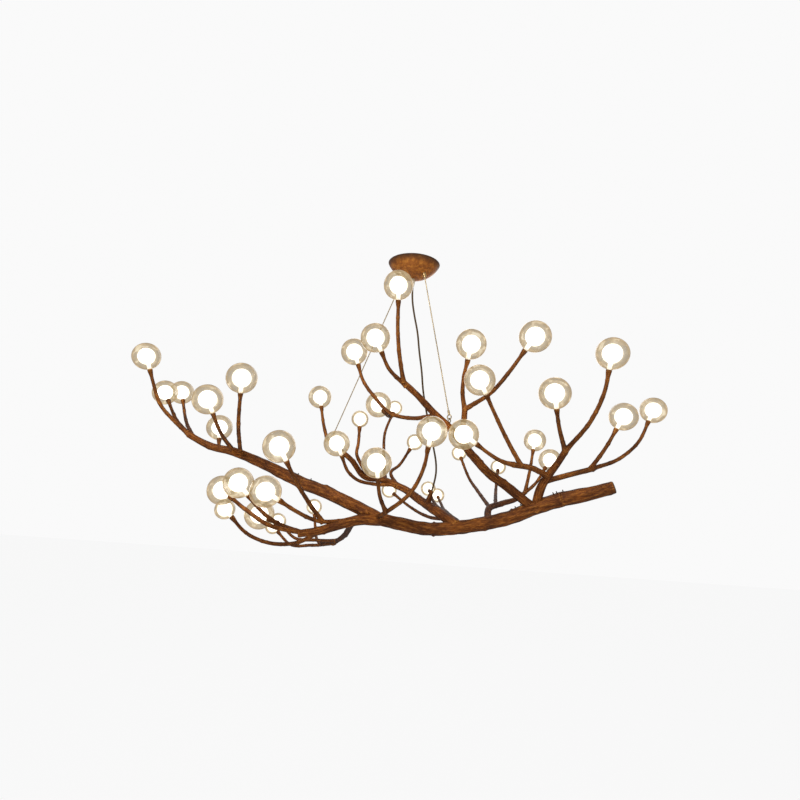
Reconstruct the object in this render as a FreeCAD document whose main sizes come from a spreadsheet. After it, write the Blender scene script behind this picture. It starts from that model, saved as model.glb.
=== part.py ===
"""Branch chandelier: bark-textured limbs on two ceiling cables, with a glass globe lamp on each twig.

Millimetres, +Z up. The origin is the centre of the ceiling plate's flat top face.
"""
import FreeCAD, Part
import math
import os
import Sketcher

Vector = FreeCAD.Vector
doc = FreeCAD.newDocument("branch_chandelier")

# ---------------------------------------------------------------- driving sizes
SIZES = [
    ("globe_diameter", 100),
    ("small_globe_diameter", 72),
    ("globe_wall", 2.4),
    ("diffuser_diameter", 60),
    ("small_diffuser_diameter", 54),
    ("diffuser_wall", 1.6),
    ("neck_diameter", 14),
    ("neck_wall", 1.4),
    ("neck_clearance", 0.25),
    ("neck_insert", 9),
    ("washer_thickness", 1.1),
    ("cup_wall", 1.9),
    ("cup_depth", 12),
    ("cup_flare_length", 30),
    ("holder_diameter", 10.4),
    ("holder_length", 11.7),
    ("pin_hole_diameter", 1.3),
    ("pin_diameter", 0.8),
    ("pin_spacing", 4),
    ("pin_length", 7),
    ("capsule_diameter", 9),
    ("capsule_length", 30),
    ("twig_diameter", 12),
    ("twig_root_diameter", 15),
    ("arm_diameter", 19),
    ("wire_channel_diameter", 5),
    ("lead_diameter", 4.4),
    ("bark_wall", 5),
    ("harness_clearance", 0.3),
    ("harness_diameter", 14),
    ("branch_forward", 5),
    ("branch_drop", 2),
    ("trunk_diameter", 49),
    ("trunk_left_diameter", 44),
    ("butt_diameter", 40),
    ("left_limb_diameter", 44),
    ("left_limb_tip_diameter", 22),
    ("front_limb_diameter", 40),
    ("front_limb_tip_diameter", 24),
    ("back_limb_diameter", 38),
    ("back_limb_tip_diameter", 18),
    ("crown_limb_diameter", 34),
    ("crown_limb_tip_diameter", 20),
    ("right_limb_diameter", 32),
    ("right_limb_tip_diameter", 20),
    ("rear_limb_diameter", 26),
    ("rear_limb_tip_diameter", 18),
    ("far_limb_diameter", 26),
    ("far_limb_tip_diameter", 18),
    ("low_limb_diameter", 24),
    ("low_limb_tip_diameter", 16),
    ("spigot_length", 56),
    ("spigot_wall", 2),
    ("spigot_fit", 0.05),
    ("screw_diameter", 4),
    ("screw_stand", 3.5),
    ("stub_diameter", 26),
    ("stub_tip_diameter", 13),
    ("canopy_diameter", 200),
    ("canopy_depth", 60),
    ("canopy_wall", 1.5),
    ("ceiling_gap", 0.3),
    ("plate_diameter", 150),
    ("plate_thickness", 2.5),
    ("plate_hole_diameter", 5.5),
    ("plate_hole_spacing", 120),
    ("nipple_diameter", 10),
    ("nipple_bore", 7.6),
    ("nut_width", 17),
    ("nut_height", 5),
    ("driver_length", 92),
    ("driver_width", 32),
    ("driver_height", 20),
    ("driver_offset", 36),
    ("terminal_length", 34),
    ("terminal_width", 14),
    ("terminal_height", 12),
    ("terminal_offset", 32),
    ("gland_diameter", 14),
    ("gland_length", 14),
    ("gland_tail_length", 18),
    ("cord_diameter", 7),
    ("cord_last_run", 52),
    ("cable_diameter", 4),
    ("cable_clearance", 0.3),
    ("cable_spacing", 104),
    ("gripper_diameter", 15),
    ("gripper_length", 24),
    ("gripper_above", 12),
    ("plunger_diameter", 8.6),
    ("plunger_stand", 5),
    ("plunger_fit", 0.05),
    ("plunger_hidden", 9),
    ("plunger_travel", 2),
    ("loop_radius", 8),
    ("ring_radius", 7),
    ("ring_wire_diameter", 4),
    ("ring_clearance", 0.25),
    ("ferrule_diameter", 8),
    ("ferrule_length", 16),
    ("eye_shank_diameter", 7),
    ("eye_shank_depth", 12),
    ("eye_stand", 3),
    ("left_eye_from_tip", 33),
    ("right_eye_from_root", 400),
    ("joint_start", 11),
    ("bush_diameter", 11),
    ("bush_length", 6),
    ("cord_top_gap", 14),
]
sheet = doc.addObject("Spreadsheet::Sheet", "Sizes")
for row, (name, value) in enumerate(SIZES, 1):
    sheet.set("A%d" % row, name)
    sheet.set("B%d" % row, str(value))
    sheet.setAlias("B%d" % row, name)
doc.recompute()


def size(name):
    """The value of one driving size."""
    return float(sheet.get(name))


# ---------------------------------------------------------------- small tools
nodes = {}


def cell(text):
    """An expression in which each @name is a cell of the sheet."""
    return text.replace("@", "Sizes.")


def shaped(kind, name, height=None, **bindings):
    """A primitive whose properties, and height along Z, follow the sheet."""
    item = doc.addObject(kind, name)
    for prop, text in bindings.items():
        item.setExpression(prop, cell(text))
    if height:
        item.setExpression("Placement.Base.z", cell(height))
    return item


def cut(name, base, *tools):
    """Base with every tool taken out of it."""
    for index, tool in enumerate(tools, 1):
        step = doc.addObject("Part::Cut", "%s_%d" % (name, index))
        step.Base = base
        step.Tool = tool
        base = step
    return base


def fuse(name, *shapes):
    """One solid made of several that overlap."""
    whole = doc.addObject("Part::MultiFuse", name)
    whole.Shapes = list(shapes)
    return whole


def node(label, item):
    """Register a finished sub-part under its own label."""
    item.Label = label
    nodes[label] = item
    return item


def feature(label, solids):
    """A sub-part whose shape is worked out here, one solid or a group of them."""
    item = doc.addObject("Part::Feature", label)
    item.Shape = solids[0] if len(solids) == 1 else Part.Compound(solids)
    return node(label, item)


def frame_along(point, direction):
    """The placement that carries +Z to a direction, at a point."""
    return FreeCAD.Placement(point, FreeCAD.Rotation(Vector(0, 0, 1), direction))


def copies(source, placements):
    """The source's shape at each placement."""
    result = []
    for place in placements:
        shape = source.Shape.copy()
        shape.Placement = place.multiply(source.Shape.Placement)
        result.append(shape)
    return result


# ---------------------------------------------------------------- limbs as smooth tapered tubes
SAMPLES_PER_SPAN = 8
RING_SPACING = 36.0


def smooth_line(points):
    """Points along the curve through the given ones, its slope at each the mean of both runs."""
    steps = [(b - a).Length for a, b in zip(points, points[1:])]
    slopes = [(b - a) * (1 / step) for a, b, step in zip(points, points[1:], steps)]
    tangents = [slopes[0]]
    for before, after, h0, h1 in zip(slopes, slopes[1:], steps, steps[1:]):
        tangents.append((before * h1 + after * h0) * (1 / (h0 + h1)))
    tangents.append(slopes[-1])
    line = []
    for i, step in enumerate(steps):
        for k in range(SAMPLES_PER_SPAN):
            u = k / SAMPLES_PER_SPAN
            a = points[i] * (2 * u**3 - 3 * u**2 + 1)
            b = points[i + 1] * (3 * u**2 - 2 * u**3)
            c = tangents[i] * (step * (u**3 - 2 * u**2 + u))
            d = tangents[i + 1] * (step * (u**3 - u**2))
            line.append(a + b + c + d)
    line.append(points[-1])
    return line


# The design points of the branches are given from a datum below and in front of the canopy.
BRANCH_DATUM = Vector(0, -size("branch_forward"), -size("branch_drop"))


def placed(points):
    """Design points carried to the branch datum."""
    return [Vector(*point) + BRANCH_DATUM for point in points]


class Path:
    """A smooth line that can be read at any distance from its start."""

    def __init__(self, points):
        self.line = smooth_line(points)
        self.marks = [0.0]
        for a, b in zip(self.line, self.line[1:]):
            self.marks.append(self.marks[-1] + (b - a).Length)
        self.length = self.marks[-1]

    def at(self, distance):
        """The point at a distance from the start, straight on beyond either end."""
        i = 1
        while i < len(self.marks) - 1 and self.marks[i] < distance:
            i += 1
        a, b = self.line[i - 1], self.line[i]
        share = (distance - self.marks[i - 1]) / (self.marks[i] - self.marks[i - 1])
        return a + (b - a) * share

    def nearest(self, point):
        """How far a point lies from the line, and how far along the line that is."""
        gap, mark = min(((p - point).Length, m) for p, m in zip(self.line, self.marks))
        return gap, mark

    def direction(self, distance):
        """The unit direction of the line at a distance from the start."""
        run = self.at(distance + 1.0) - self.at(distance - 1.0)
        return run.normalize()


def ring_of_arcs(radius):
    """A circle in three arcs, so that the side of a tube has three faces and not one with a seam."""
    turns = range(0, 360, 120)
    arcs = [Part.makeCircle(radius, Vector(), Vector(0, 0, 1), turn, turn + 120) for turn in turns]
    return Part.Wire(arcs)


def tube(path, radius_at, stations):
    """A solid through one circle at each station, with no twist from ring to ring."""
    rings = []
    across = Vector(0.31, 0.27, 0.91)
    for station in stations:
        along = path.direction(station)
        across = (across - along * across.dot(along)).normalize()
        side = along.cross(across)
        ring = ring_of_arcs(radius_at(station))
        ring.Placement = FreeCAD.Placement(path.at(station), FreeCAD.Rotation(across, side, along, "ZXY"))
        rings.append(ring)
    return Part.makeLoft(rings, True, False)


def evenly(start, end):
    """Stations no further apart than the ring spacing."""
    count = max(2, math.ceil((end - start) / RING_SPACING))
    return [start + (end - start) * k / count for k in range(count + 1)]


class Limb:
    """A tapered limb with a bore for its wires."""

    def __init__(self, name, points, root, tip, start=0.0):
        self.name = name
        self.path = Path(placed(points))
        self.root = root / 2
        self.tip = tip / 2
        self.stations = evenly(start, self.path.length)
        self.outer = tube(self.path, self.radius, self.stations)
        self.bore = tube(self.path, self.bore_radius, self.stations)
        self.solid = self.outer

    def radius(self, distance):
        """Outer radius, falling steadily from root to tip."""
        return self.root + (self.tip - self.root) * distance / self.path.length

    def bore_radius(self, distance):
        """The bore fits the harness, or leaves one bark wall where the limb is thin."""
        fit = size("harness_diameter") / 2 + size("harness_clearance")
        return min(fit, self.radius(distance) - size("bark_wall"))

    def harness(self):
        """The bundle of lamp leads that fills the bore but for a clearance."""
        gap = size("harness_clearance")
        return tube(self.path, lambda s: self.bore_radius(s) - gap, self.stations)


# ---------------------------------------------------------------- design points of the limbs
# An inline limb starts this far inside its neighbour, and is cut back to meet it.
LAP = 6.0
LIMBS = {
    "trunk": Limb(
        "trunk",
        [(550, -120, -855), (480, -85, -885), (380, -50, -935), (260, -20, -970),
         (140, -20, -990), (10, -30, -980), (-65, -40, -965)],
        size("trunk_diameter"), size("trunk_left_diameter")),
    "butt_end": Limb(
        "butt_end",
        [(550, -120, -855), (630, -155, -830), (695, -190, -805)],
        size("trunk_diameter"), size("butt_diameter"), -LAP),
    "left_knuckle": Limb(
        "left_knuckle",
        [(-65, -40, -965), (-175, -30, -920), (-255, -15, -890), (-350, 0, -863)],
        size("trunk_left_diameter"), size("left_limb_diameter")),
    "left_limb": Limb(
        "left_limb",
        [(-350, 0, -863), (-485, 10, -810), (-605, 25, -770), (-715, 35, -750), (-795, 35, -715)],
        size("left_limb_diameter"), size("left_limb_tip_diameter"), -LAP),
    "front_limb": Limb(
        "front_limb",
        [(-50, -35, -970), (-140, -80, -975), (-190, -110, -990), (-265, -135, -1015), (-320, -145, -1025)],
        size("front_limb_diameter"), size("front_limb_tip_diameter")),
    "back_limb": Limb(
        "back_limb",
        [(210, -25, -972), (140, 65, -930), (80, 160, -895), (20, 235, -860), (-70, 250, -830),
         (-135, 248, -825), (-205, 238, -755), (-290, 250, -698), (-311, 253, -684)],
        size("back_limb_diameter"), size("back_limb_tip_diameter")),
    "crown_limb": Limb(
        "crown_limb",
        [(460, -80, -890), (385, -78, -835), (305, -88, -785), (240, -106, -725), (155, -128, -640),
         (100, -138, -595), (20, -155, -525), (-15, -170, -500)],
        size("crown_limb_diameter"), size("crown_limb_tip_diameter")),
    "right_limb": Limb(
        "right_limb",
        [(470, -85, -885), (485, -110, -810), (500, -125, -780), (520, -185, -725), (530, -210, -695)],
        size("right_limb_diameter"), size("right_limb_tip_diameter")),
    "rear_limb": Limb(
        "rear_limb",
        [(225, -15, -970), (210, 170, -955), (200, 340, -940)],
        size("rear_limb_diameter"), size("rear_limb_tip_diameter")),
    "far_limb": Limb(
        "far_limb",
        [(320, -35, -955), (340, 70, -910), (410, 170, -890), (485, 255, -870), (540, 320, -840)],
        size("far_limb_diameter"), size("far_limb_tip_diameter")),
    "low_limb": Limb(
        "low_limb",
        [(-150, -85, -978), (-190, 110, -1045), (-250, 295, -1100)],
        size("low_limb_diameter"), size("low_limb_tip_diameter")),
}

# Twigs in the order in which they are fitted. Each runs from its root to the centre of its globe,
# or, for an arm without a lamp, to its far end.
BIG, SMALL, ARM = "big", "small", "arm"
TWIGS = {
    "left": [
        ("l1", BIG, [(-790, 35, -718), (-850, 30, -670), (-905, 20, -615), (-940, 5, -530), (-970, -10, -440)]),
        ("l2", BIG, [(-800, 40, -710), (-915, 165, -635), (-995, 230, -535)]),
        ("l3", BIG, [(-780, 40, -720), (-915, 260, -615), (-970, 330, -515)]),
        ("l4", BIG, [(-615, 25, -767), (-635, -100, -700), (-655, -185, -610)]),
        ("l5", BIG, [(-590, 25, -773), (-555, -155, -660), (-535, -235, -540)]),
        ("l6", BIG, [(-675, 35, -758), (-712, 138, -748), (-730, 170, -670)]),
    ],
    "front": [
        ("f4", BIG, [(-155, -85, -975), (-260, -140, -980), (-325, -195, -950), (-420, -225, -895)]),
        ("l7", BIG, [(-245, -125, -985), (-295, -175, -915), (-325, -245, -855), (-375, -300, -755)]),
        ("f1", BIG, [(-305, -143, -1022), (-405, -140, -990), (-460, -145, -950), (-525, -170, -875)]),
        ("f5", BIG, [(-392, -138, -997), (-468, -82, -977)]),
        ("f2", BIG, [(-300, -140, -1022), (-416, -185, -997), (-484, -180, -960), (-600, -94, -905)]),
        ("f3", SMALL, [(-235, -125, -1005), (-355, -45, -1070), (-460, -5, -1075), (-545, 20, -1045), (-620, 20, -975)]),
    ],
    "trunk": [
        ("c2", BIG, [(-75, -45, -965), (-40, -100, -940), (40, -150, -865), (75, -195, -780), (90, -235, -670)]),
        ("c1", BIG, [(-40, -100, -940), (-65, -170, -875), (-80, -205, -780)]),
    ],
    "crown": [
        ("t1", BIG, [(-10, -168, -505), (-30, -195, -420), (-40, -215, -355), (-50, -245, -190)]),
        ("t2", BIG, [(0, -163, -515), (-65, -185, -460), (-115, -205, -365)]),
        ("t3", BIG, [(110, -134, -602), (30, -100, -614), (-45, -75, -600), (-110, -45, -540),
                     (-160, -25, -475), (-200, -20, -370)]),
        ("m4", BIG, [(-40, -75, -602), (-65, 30, -590), (-100, 90, -545)]),
        ("crown_arm", ARM, [(197, -116, -682), (202, -145, -620), (200, -180, -580)]),
        ("r1", BIG, [(200, -178, -585), (190, -185, -540), (185, -225, -485), (200, -260, -380)]),
        ("r3", BIG, [(200, -178, -582), (275, -225, -530), (320, -290, -470), (385, -340, -365)]),
    ],
    "right": [
        ("left_arm", ARM, [(500, -125, -782), (430, -160, -760), (365, -185, -755)]),
        ("c3", BIG, [(370, -183, -755), (330, -190, -748), (280, -205, -725), (195, -215, -670)]),
        ("r2", BIG, [(395, -175, -757), (350, -190, -690), (295, -235, -610), (230, -275, -500)]),
        ("r4", BIG, [(528, -205, -700), (485, -270, -625), (455, -320, -535)]),
        ("r5", BIG, [(530, -207, -698), (585, -275, -605), (610, -320, -515), (620, -350, -405)]),
        ("right_arm", ARM, [(490, -112, -800), (590, -70, -770), (695, -20, -740)]),
        ("r6", BIG, [(680, -25, -743), (730, -45, -660), (785, -60, -550)]),
        ("r7", BIG, [(690, -20, -741), (820, 45, -690), (920, 90, -605), (975, 100, -490)]),
    ],
    "back": [
        ("m2", BIG, [(-15, 240, -848), (-100, 220, -850), (-170, 170, -835), (-200, 145, -810), (-250, 105, -705)]),
        ("m1", BIG, [(-307, 252, -687), (-336, 292, -613), (-370, 345, -490)]),
        ("m3", SMALL, [(-118, 248, -828), (-158, 218, -775), (-178, 207, -735), (-176, 225, -690), (-180, 260, -585)]),
        ("m5", SMALL, [(-55, 248, -835), (-75, 430, -705), (-75, 525, -595), (-40, 545, -485)]),
        ("m6", SMALL, [(0, 235, -855), (-35, 315, -795), (0, 370, -760), (60, 390, -655)]),
    ],
    "rear": [
        ("m7", SMALL, [(212, 130, -960), (135, 325, -970), (50, 490, -935), (-40, 590, -875)]),
        ("m8", SMALL, [(202, 306, -943), (212, 520, -935), (200, 715, -885)]),
        ("m9", SMALL, [(207, 222, -951), (168, 430, -918), (150, 660, -855)]),
    ],
    "far": [
        ("b1", BIG, [(536, 315, -842), (575, 385, -730), (605, 435, -605)]),
        ("b2", BIG, [(500, 274, -864), (600, 362, -790), (674, 430, -690)]),
        ("b3", SMALL, [(375, 125, -900), (430, 400, -825), (470, 565, -730)]),
        ("b4", SMALL, [(346, 85, -907), (335, 305, -850), (315, 475, -785), (285, 600, -675)]),
    ],
    "low": [
        ("f6", SMALL, [(-232, 240, -1084), (-330, 355, -1100), (-440, 415, -1100), (-515, 425, -1040)]),
        ("f7", SMALL, [(-244, 278, -1096), (-325, 410, -1115), (-368, 545, -1060), (-385, 575, -975)]),
        ("f8", SMALL, [(-250, 293, -1100), (-365, 455, -1135), (-490, 565, -1145), (-575, 605, -1080)]),
    ],
}


class Twig:
    """One twig with its wire channel. A lamp twig ends in a flared cup below its globe."""

    def __init__(self, name, kind, points):
        self.name = name
        self.kind = kind
        places = placed(points)
        if kind != ARM:
            away = (places[-1] - places[-2]).normalize()
            self.place = frame_along(places[-1] - away * lamp_reach(kind), away)
            places[-1] = self.place.Base
        self.path = Path(places)
        self.flare = size("cup_flare_length")
        stations = evenly(0, self.path.length)
        if kind != ARM:
            stations = evenly(0, self.path.length - self.flare)
            stations += [self.path.length - self.flare * share for share in (0.62, 0.38, 0.18, 0)]
        self.outer = tube(self.path, self.radius, stations)
        runs = evenly(0, self.path.length)
        self.channel = tube(self.path, lambda s: size("wire_channel_diameter") / 2, runs)
        self.wire = tube(self.path, lambda s: size("lead_diameter") / 2, runs)
        self.cup_rooms = []
        if kind != ARM:
            depth = size("cup_depth")
            bore = Part.makeCylinder(size("neck_diameter") / 2 + size("neck_clearance"), depth)
            bore.Placement = self.place.multiply(FreeCAD.Placement(Vector(0, 0, -depth), FreeCAD.Rotation()))
            above = Part.makeCylinder(size("neck_diameter"), depth)
            above.Placement = self.place
            self.cup_rooms = [bore, above]

    def radius(self, distance):
        """Twig radius: a steady taper, then the flare of the cup."""
        root = size("twig_root_diameter") / 2
        thin = size("twig_diameter") / 2
        if self.kind == ARM:
            return size("arm_diameter") / 2
        straight = self.path.length - self.flare
        if distance < straight:
            return root + (thin - root) * distance / straight
        share = (distance - straight) / self.flare
        cup = size("neck_diameter") / 2 + size("neck_clearance") + size("cup_wall")
        return thin + (cup - thin) * (3 * share**2 - 2 * share**3)


# ---------------------------------------------------------------- one lamp, drawn once at the origin
# The cup's rim is at height 0 and the globe is above it.
def lamp_reach(kind):
    """Height of a globe's centre above the rim of its cup."""
    radius = size("globe_diameter" if kind == BIG else "small_globe_diameter") / 2
    hole = size("neck_diameter") / 2 + size("neck_clearance")
    return size("washer_thickness") + math.sqrt(radius**2 - hole**2)


HOLE = "(@neck_diameter / 2 + @neck_clearance)"


def lamp_glass(kind, diameter, inner):
    """Clear outer globe and frosted inner ball for one size of lamp."""
    centre = "@washer_thickness + sqrt((%s / 2) ^ 2 - %s ^ 2)" % (diameter, HOLE)
    ball = shaped("Part::Sphere", kind + "_ball", centre, Radius="%s / 2" % diameter)
    inside = shaped("Part::Sphere", kind + "_inside", centre, Radius="%s / 2 - @globe_wall" % diameter)
    hole = shaped("Part::Cylinder", kind + "_hole", Radius=HOLE, Height="@globe_diameter / 2")
    globe = cut(kind + "_globe", ball, inside, hole)
    frost = shaped("Part::Sphere", kind + "_frost", centre, Radius="%s / 2" % inner)
    hollow = shaped("Part::Sphere", kind + "_hollow", centre, Radius="%s / 2 - @diffuser_wall" % inner)
    neck = shaped("Part::Cylinder", kind + "_neck", "-@neck_insert", Radius="@neck_diameter / 2",
                  Height="@neck_insert + " + centre)
    bore = shaped("Part::Cylinder", kind + "_bore", "-@neck_insert",
                  Radius="@neck_diameter / 2 - @neck_wall", Height="@neck_insert + " + centre)
    diffuser = cut(kind + "_diffuser", fuse(kind + "_body", frost, neck), hollow, bore)
    return globe, diffuser


glass = {
    BIG: lamp_glass(BIG, "@globe_diameter", "@diffuser_diameter"),
    SMALL: lamp_glass(SMALL, "@small_globe_diameter", "@small_diffuser_diameter"),
}
washer = cut(
    "washer",
    shaped("Part::Cylinder", "washer_disc", Radius=HOLE + " + @cup_wall", Height="@washer_thickness"),
    shaped("Part::Cylinder", "washer_hole", Radius=HOLE, Height="@washer_thickness"))
holder_floor = "-@cup_depth"
socket_holes = []
pins = []
for side in (-1, 1):
    tag = "left" if side < 0 else "right"
    socket_hole = shaped("Part::Cylinder", "socket_hole_" + tag,
                         "-@cup_depth + @holder_length - @pin_length - @neck_clearance",
                         Radius="@pin_hole_diameter / 2", Height="@pin_length + @neck_clearance")
    pin = shaped("Part::Cylinder", "pin_" + tag, "-@cup_depth + @holder_length - @pin_length",
                 Radius="@pin_diameter / 2", Height="@pin_length + @pin_spacing")
    for piece in (socket_hole, pin):
        piece.setExpression("Placement.Base.x", cell("%d * @pin_spacing / 2" % side))
    socket_holes.append(socket_hole)
    pins.append(pin)
holder = cut(
    "holder",
    shaped("Part::Cylinder", "holder_body", holder_floor, Radius="@holder_diameter / 2", Height="@holder_length"),
    *socket_holes)
capsule_foot = "-@cup_depth + @holder_length + @neck_clearance"
capsule = fuse(
    "capsule",
    shaped("Part::Cylinder", "capsule_tube", capsule_foot, Radius="@capsule_diameter / 2",
           Height="@capsule_length - @capsule_diameter / 2"),
    shaped("Part::Sphere", "capsule_dome", capsule_foot + " + @capsule_length - @capsule_diameter / 2",
           Radius="@capsule_diameter / 2"),
    *pins)
doc.recompute()

# ---------------------------------------------------------------- fit the limbs together
twigs = {}
for group, entries in TWIGS.items():
    twigs[group] = [Twig(*entry) for entry in entries]


def touch(twig, other):
    """Whether a twig's line comes within the bark of another piece."""
    reach = size("twig_root_diameter")
    near = (other.path.nearest(point) for point in twig.path.line)
    return any(gap < other.radius(mark) + reach for gap, mark in near)


def largest(shape):
    """The main solid of a cut, without slivers on the far side of what cut it."""
    return max(shape.Solids, key=lambda solid: solid.Volume)


def rod(point, direction, radius, start, end):
    """A cylinder along a direction, from one distance to another past a point."""
    place = frame_along(point + direction * start, direction)
    cylinder = Part.makeCylinder(radius, end - start)
    cylinder.Placement = place
    return cylinder


# Each spigot is a steel tube that joins two limbs. An inline one is centred on the joint, and one in
# a saddle joint starts beside the harness of the limb that carries it.
SPIGOTS = [
    ("trunk", "butt_end", "inline"),
    ("left_knuckle", "left_limb", "inline"),
    ("trunk", "left_knuckle", "saddle"),
    ("trunk", "back_limb", "saddle"),
    ("trunk", "crown_limb", "saddle"),
    ("trunk", "right_limb", "saddle"),
    ("trunk", "far_limb", "saddle"),
    ("trunk", "rear_limb", "saddle"),
    ("front_limb", "low_limb", "saddle"),
]
spigot_inner = size("harness_diameter") / 2 + size("harness_clearance")
spigot_outer = spigot_inner + size("spigot_wall")
spigots = []
sockets = {name: [] for name in LIMBS}
for carrier, carried, kind in SPIGOTS:
    limb = LIMBS[carried]
    if kind == "inline":
        middle = 0
        start = -size("spigot_length") / 2
    else:
        middle = LIMBS[carrier].root
        start = size("joint_start") - middle
    point = limb.path.at(middle)
    direction = limb.path.direction(middle)
    end = start + size("spigot_length")
    body = rod(point, direction, spigot_outer, start, end)
    spigots.append(body.cut(rod(point, direction, spigot_inner, start, end)))
    room = rod(point, direction, spigot_outer + size("spigot_fit"), start - 1, end + 1)
    sockets[carrier].append(room)
    sockets[carried].append(room)

# Set screws stand in rows beside the joints, on the upper side: the limb, and how far from its root.
SCREWS = [
    ("butt_end", 10),
    ("trunk", 8),
    ("trunk", 20),
    ("trunk", 135),
    ("trunk", 158),
    ("left_limb", 24),
    ("left_knuckle", 276),
]
UP_AND_FORWARD = Vector(0, -0.35, 1)
set_screws = []
for name, distance in SCREWS:
    limb = LIMBS[name]
    along = limb.path.direction(distance)
    out = (UP_AND_FORWARD - along * UP_AND_FORWARD.dot(along)).normalize()
    end = limb.radius(distance) + size("screw_stand")
    start = spigot_outer + size("spigot_fit")
    screw = rod(limb.path.at(distance), out, size("screw_diameter") / 2, start, end)
    set_screws.append(largest(screw.cut(spigots)))
    sockets[name].append(screw)

# Eyes for the two cables. The rings' axes lie along the line between the eyes, and on a sloping limb
# the ring's low edge beds in the bark.
eye_seats = []
for name, distance in (("back_limb", LIMBS["back_limb"].path.length - size("left_eye_from_tip")),
                       ("crown_limb", size("right_eye_from_root"))):
    limb = LIMBS[name]
    seat = limb.path.at(distance)
    height = limb.radius(distance) + size("ring_radius") + size("ring_wire_diameter") / 2 + size("eye_stand")
    eye_seats.append((name, seat, seat + Vector(0, 0, height)))
left_eye = eye_seats[0][2]
right_eye = eye_seats[1][2]
eye_line = (right_eye - left_eye).normalize()
eye_solids = []
for name, seat, centre in eye_seats:
    ring = Part.makeTorus(size("ring_radius"), size("ring_wire_diameter") / 2)
    ring.Placement = frame_along(centre, eye_line)
    top = size("ring_radius")
    bottom = (centre - seat).z + size("eye_shank_depth") - LIMBS[name].tip
    shank = rod(centre, Vector(0, 0, -1), size("eye_shank_diameter") / 2, top, bottom)
    eye_solids.append(ring.fuse(shank))
    sockets[name].append(eye_solids[-1])

# The stub on the back limb where the power cord goes in.
STUB = [(112, 105, -912), (119, 98, -885), (125, 90, -860)]
stub = Limb("cord_stub", STUB, size("stub_diameter"), size("stub_tip_diameter"))
stub_tip = stub.path.at(stub.path.length)
stub_way = stub.path.direction(stub.path.length - 1)
cord_bore = tube(stub.path, lambda s: size("cord_diameter") / 2 + size("harness_clearance"),
                 evenly(0, stub.path.length))
bush_room = rod(stub_tip, stub_way, size("bush_diameter") / 2, -size("bush_length"), 0)
bush = bush_room.cut(rod(stub_tip, stub_way, size("cord_diameter") / 2 + size("harness_clearance"),
                         -size("bush_length"), 0))
cord_inlet = tube(stub.path, lambda s: size("cord_diameter") / 2, evenly(size("joint_start"), stub.path.length))

# A limb whose root lies in another is coped round it. What is smaller than a sliver, in cubic
# millimetres, is left out of the wires.
SLIVER = 300.0
COPED = {
    "left_knuckle": ["trunk"],
    "left_limb": ["left_knuckle"],
    "butt_end": ["trunk"],
    "front_limb": ["trunk", "left_knuckle"],
    "back_limb": ["trunk"],
    "crown_limb": ["trunk"],
    "right_limb": ["trunk", "crown_limb"],
    "rear_limb": ["trunk", "back_limb"],
    "far_limb": ["trunk"],
    "low_limb": ["front_limb"],
}
for group, members in twigs.items():
    fitted = list(LIMBS.values())
    for twig in members:
        twig.carriers = [other for other in fitted if touch(twig, other)]
        around = [other.outer for other in twig.carriers] + twig.cup_rooms
        twig.solid = largest(twig.outer.cut(around + [twig.channel]))
        twig.lead = largest(twig.wire.cut(around))
        fitted.append(twig)

harness = []
for name, limb in LIMBS.items():
    rooms = [LIMBS[other].outer for other in COPED.get(name, [])] + sockets[name]
    limb.solid = largest(limb.outer.cut(rooms + [limb.bore]))
    lengths = limb.harness().cut(rooms).Solids
    harness += [piece for piece in lengths if piece.Volume > SLIVER]
front = LIMBS["front_limb"]
wire_way = tube(front.path, front.bore_radius, front.stations[:3])
for name in ("trunk", "left_knuckle"):
    LIMBS[name].solid = LIMBS[name].solid.cut(wire_way)
back = LIMBS["back_limb"]
back.solid = back.solid.cut(cord_bore)
stub.solid = largest(stub.outer.cut([LIMBS["back_limb"].outer, cord_bore, bush_room]))

for name, limb in LIMBS.items():
    feature(name, [limb.solid])
feature("cord_stub", [stub.solid])
feature("cord_bush", [bush])
diffusers = []
for group, members in twigs.items():
    feature(group + "_twigs", [twig.solid for twig in members])
    lamps = {kind: [twig.place for twig in members if twig.kind == kind] for kind in (BIG, SMALL)}
    feature(group + "_globes", copies(glass[BIG][0], lamps[BIG]) + copies(glass[SMALL][0], lamps[SMALL]))
    diffusers += copies(glass[BIG][1], lamps[BIG]) + copies(glass[SMALL][1], lamps[SMALL])
feature("inner_diffusers", diffusers)
lamp_places = [twig.place for members in twigs.values() for twig in members if twig.kind != ARM]
feature("globe_washers", copies(washer, lamp_places))
feature("lamp_holders", copies(holder, lamp_places))
feature("led_capsules", copies(capsule, lamp_places))
feature("lamp_leads", [twig.lead for members in twigs.values() for twig in members])
feature("limb_harness", harness + [cord_inlet])
feature("spigots", spigots)
feature("set_screws", set_screws)
feature("eye_bolts", eye_solids)

# ---------------------------------------------------------------- ceiling plate and canopy
def ring_sketch(body, circles):
    """A sketch of circles on the XY plane, each with its centre's X and its radius from the sheet."""
    sketch = body.newObject("Sketcher::SketchObject", body.Name + "_sketch")
    plane = [item for item in body.Origin.OriginFeatures if item.Role == "XY_Plane"][0]
    sketch.AttachmentSupport = [(plane, "")]
    sketch.MapMode = "FlatFace"
    for index, (x_text, radius_text) in enumerate(circles):
        start_x = 0.0 if x_text is None else (-1) ** index * 50.0
        circle = Part.Circle(Vector(start_x, 0, 0), Vector(0, 0, 1), 3.0 + index)
        sketch.addGeometry(circle, False)
        number = sketch.addConstraint(Sketcher.Constraint("Radius", index, 3.0 + index))
        sketch.setExpression("Constraints[%d]" % number, cell(radius_text))
        if x_text is None:
            sketch.addConstraint(Sketcher.Constraint("Coincident", index, 3, -1, 1))
            continue
        sketch.addConstraint(Sketcher.Constraint("PointOnObject", index, 3, -1))
        number = sketch.addConstraint(Sketcher.Constraint("DistanceX", -1, 1, index, 3, start_x))
        sketch.setExpression("Constraints[%d]" % number, cell(x_text))
    return sketch


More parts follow.
